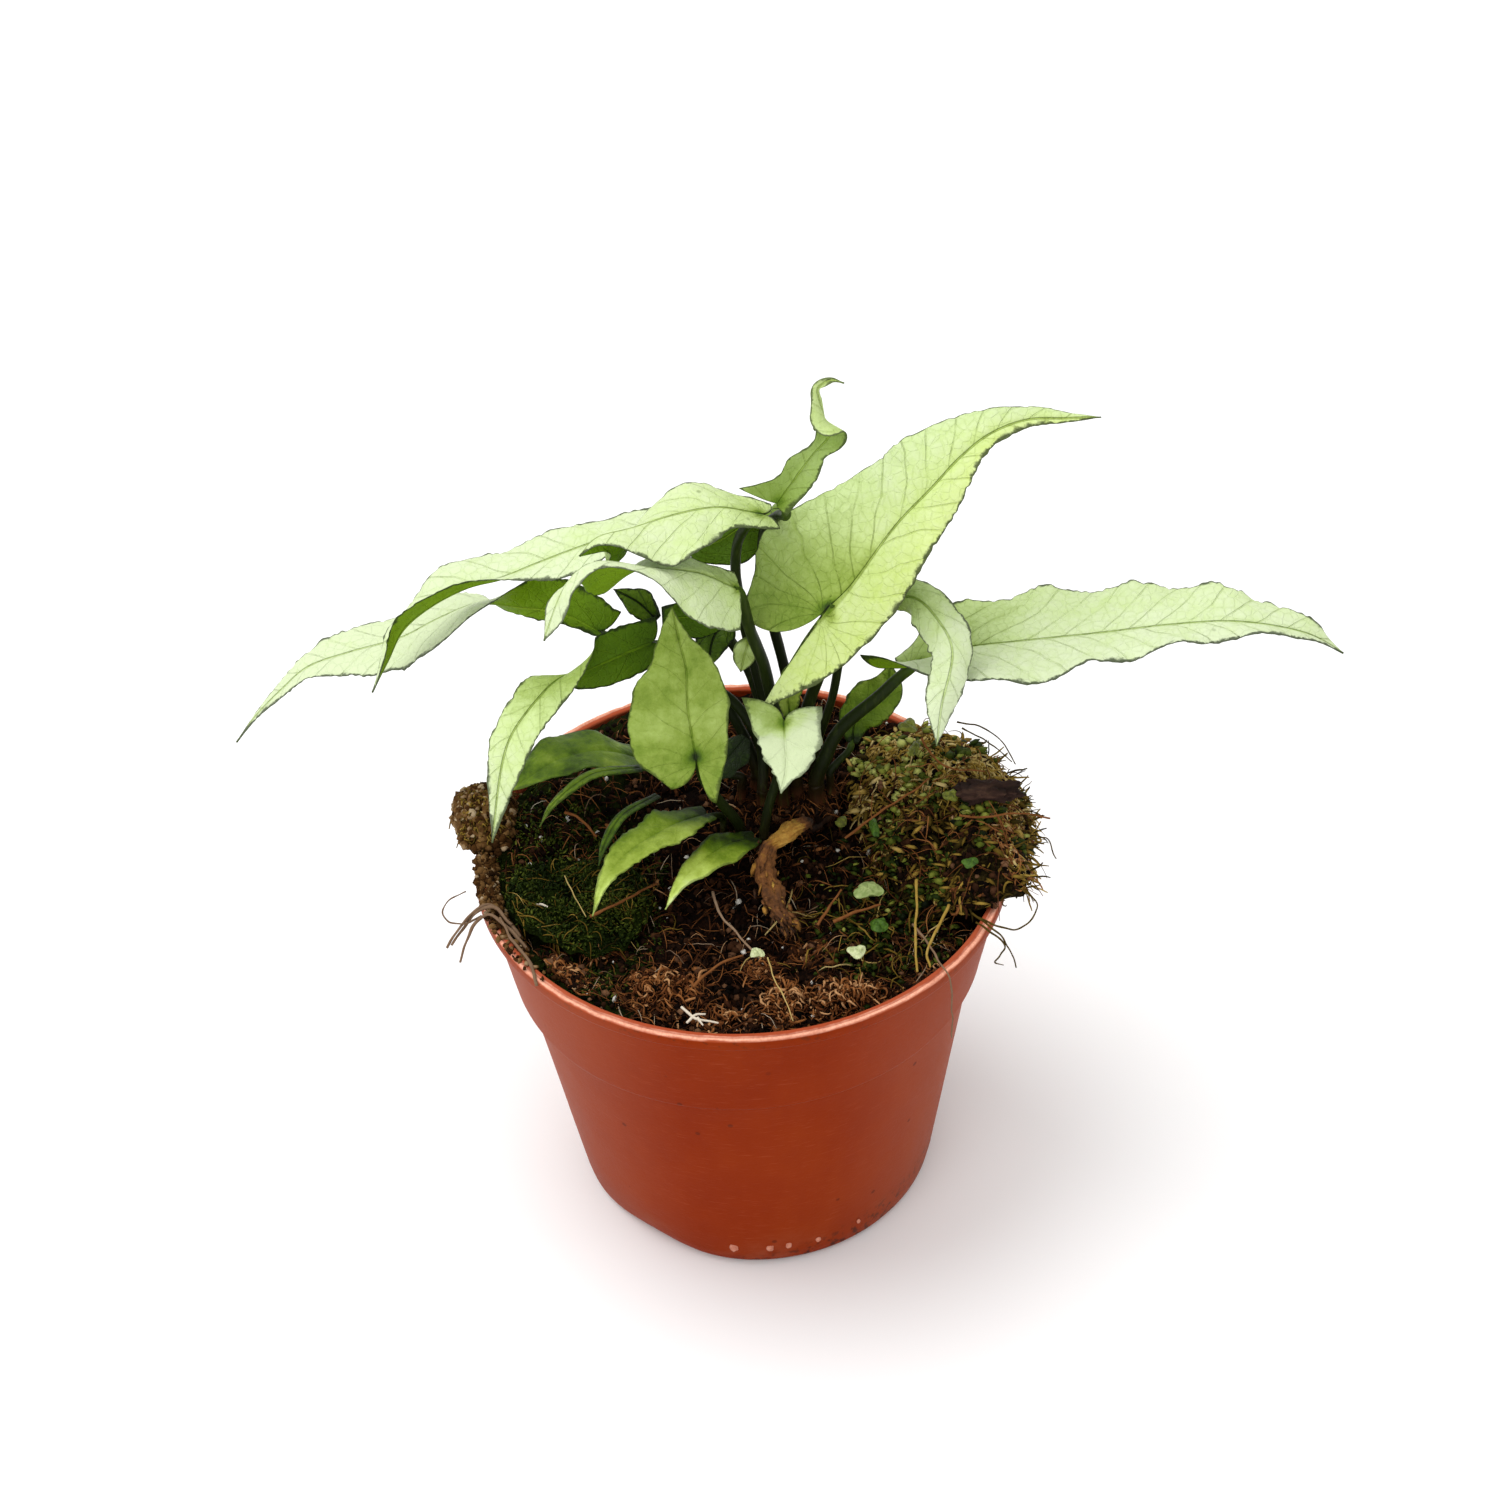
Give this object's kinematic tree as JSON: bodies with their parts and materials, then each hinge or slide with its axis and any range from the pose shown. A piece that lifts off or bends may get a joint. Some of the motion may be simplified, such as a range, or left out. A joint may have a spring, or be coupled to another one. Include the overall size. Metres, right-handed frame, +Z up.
{
  "type": "potted arrowhead plant",
  "caption": "Young Syngonium with pale lime arrow-shaped leaves on thin stalks, in dark mossy soil in a round terracotta-coloured plastic nursery pot.",
  "frame": {"origin": "centre of the pot's flat base, on the surface it stands on", "axes": "+Z up along the pot's axis; -Y is the front, the side with the upright front leaf; +X is the side of the longest leaf"},
  "size_m": [0.1893, 0.09, 0.1602],
  "materials": {
    "pot": "satin",
    "soil": "matte",
    "crown": "matte",
    "moss": "matte",
    "dry_moss": "matte",
    "leaf_pale": "satin",
    "leaf_green": "satin",
    "stalk": "satin",
    "husk": "matte",
    "root": "matte",
    "seedling": "satin",
    "bark": "matte"
  },
  "bodies": {
    "root": {"bark_chip": "bark", "crown": "crown", "dead_sheath": "husk", "leaf_arching_centre": "leaf_pale", "leaf_arching_right": "leaf_pale", "leaf_far_left": "leaf_pale", "leaf_front_upright": "leaf_green", "leaf_left_hanging": "leaf_pale", "leaf_low_front": "leaf_green", "leaf_low_left": "leaf_green", "leaf_low_middle": "leaf_green", "leaf_narrow_front": "leaf_green", "leaf_narrow_left": "leaf_green", "leaf_right_long": "leaf_pale", "leaf_shaded_back": "leaf_green", "leaf_shaded_centre": "leaf_green", "leaf_shaded_low": "leaf_green", "leaf_shaded_top": "leaf_green", "leaf_sheath_right": "leaf_pale", "leaf_small_back": "leaf_green", "leaf_small_heart": "leaf_pale", "leaf_small_pale": "leaf_pale", "leaf_top_centre": "leaf_pale", "leaf_unrolling_top": "leaf_green", "leaf_upper_left": "leaf_pale", "leaf_upper_right": "leaf_pale", "leaf_young_centre": "leaf_pale", "moss_dry_left": "dry_moss", "moss_left": "moss", "moss_right": "moss", "pot": "pot", "root_loop_left": "root", "root_over_rim": "root", "root_pale_front": "root", "seedling_green": "seedling", "seedling_pale": "seedling", "soil": "soil", "stalk_arching_centre": "stalk", "stalk_arching_right": "stalk", "stalk_far_left": "stalk", "stalk_front_upright": "stalk", "stalk_left_hanging": "stalk", "stalk_low_front": "stalk", "stalk_low_left": "stalk", "stalk_right_long": "stalk", "stalk_sheath_right": "stalk", "stalk_small_heart": "stalk", "stalk_top_centre": "stalk", "stalk_unrolling_top": "stalk", "stalk_upper_left": "stalk", "stalk_upper_right": "stalk"}
  },
  "joints": []
}
